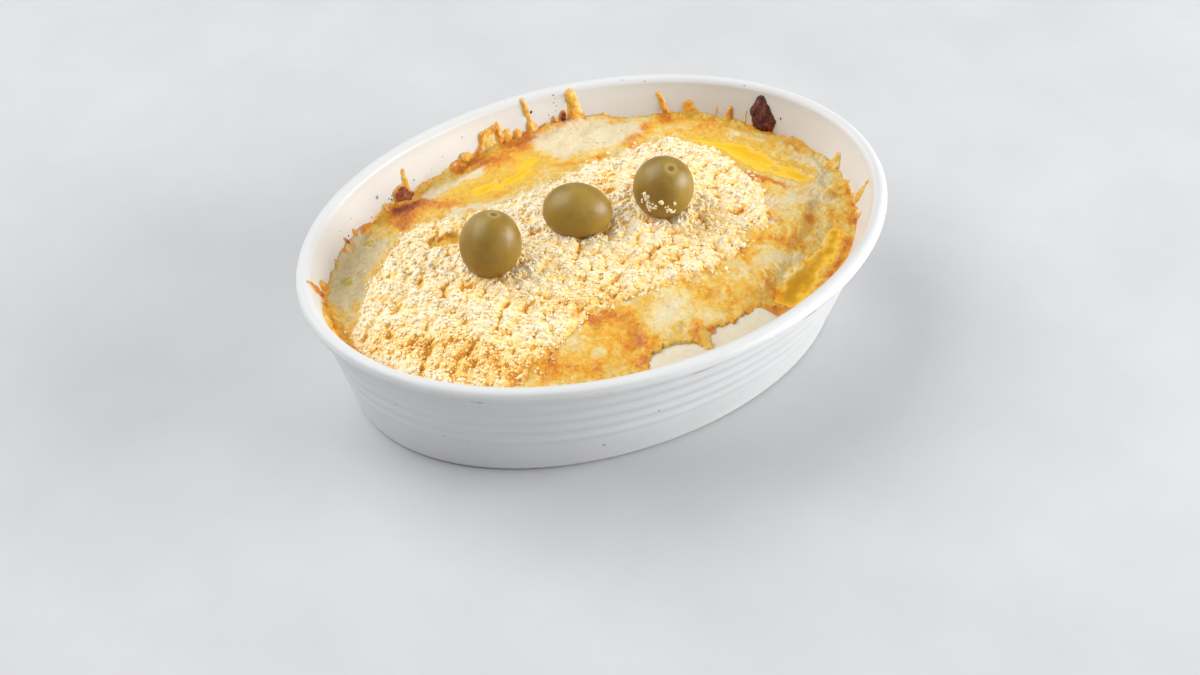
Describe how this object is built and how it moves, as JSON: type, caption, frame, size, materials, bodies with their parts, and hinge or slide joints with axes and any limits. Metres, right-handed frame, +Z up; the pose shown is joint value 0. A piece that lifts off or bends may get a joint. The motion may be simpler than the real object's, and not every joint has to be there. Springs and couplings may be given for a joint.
{
  "type": "vegetable lasagna in dish",
  "caption": "Oval white stoneware dish filled with baked lasagna, with a browned cheese top, grated cheese and green olives.",
  "frame": {"origin": "middle of the underside of the dish's foot, on the surface it stands on", "axes": "+X along the dish's long axis, +Y across it towards the back of the picture, +Z up"},
  "size_m": [0.21, 0.1562, 0.065],
  "materials": {
    "dish_glaze": "satin white glaze with fine dark specks",
    "baked_cheese": "melted cheese, pale to golden and browned, slightly greasy",
    "white_sauce": "smooth wet cream sauce",
    "grated_cheese": "dry fine crumbs of hard cheese",
    "melted_oil": "clear yellow oil, glossy",
    "olive_skin": "smooth moist olive skin"
  },
  "bodies": {
    "root": {"dish": "dish_glaze", "lasagna": "baked_cheese", "white_sauce": "white_sauce", "grated_cheese": "grated_cheese", "oil_pool_right": "melted_oil", "oil_pool_back": "melted_oil", "oil_pool_left": "melted_oil", "olive_left": "olive_skin", "olive_middle": "olive_skin", "olive_right": "olive_skin"}
  },
  "joints": []
}
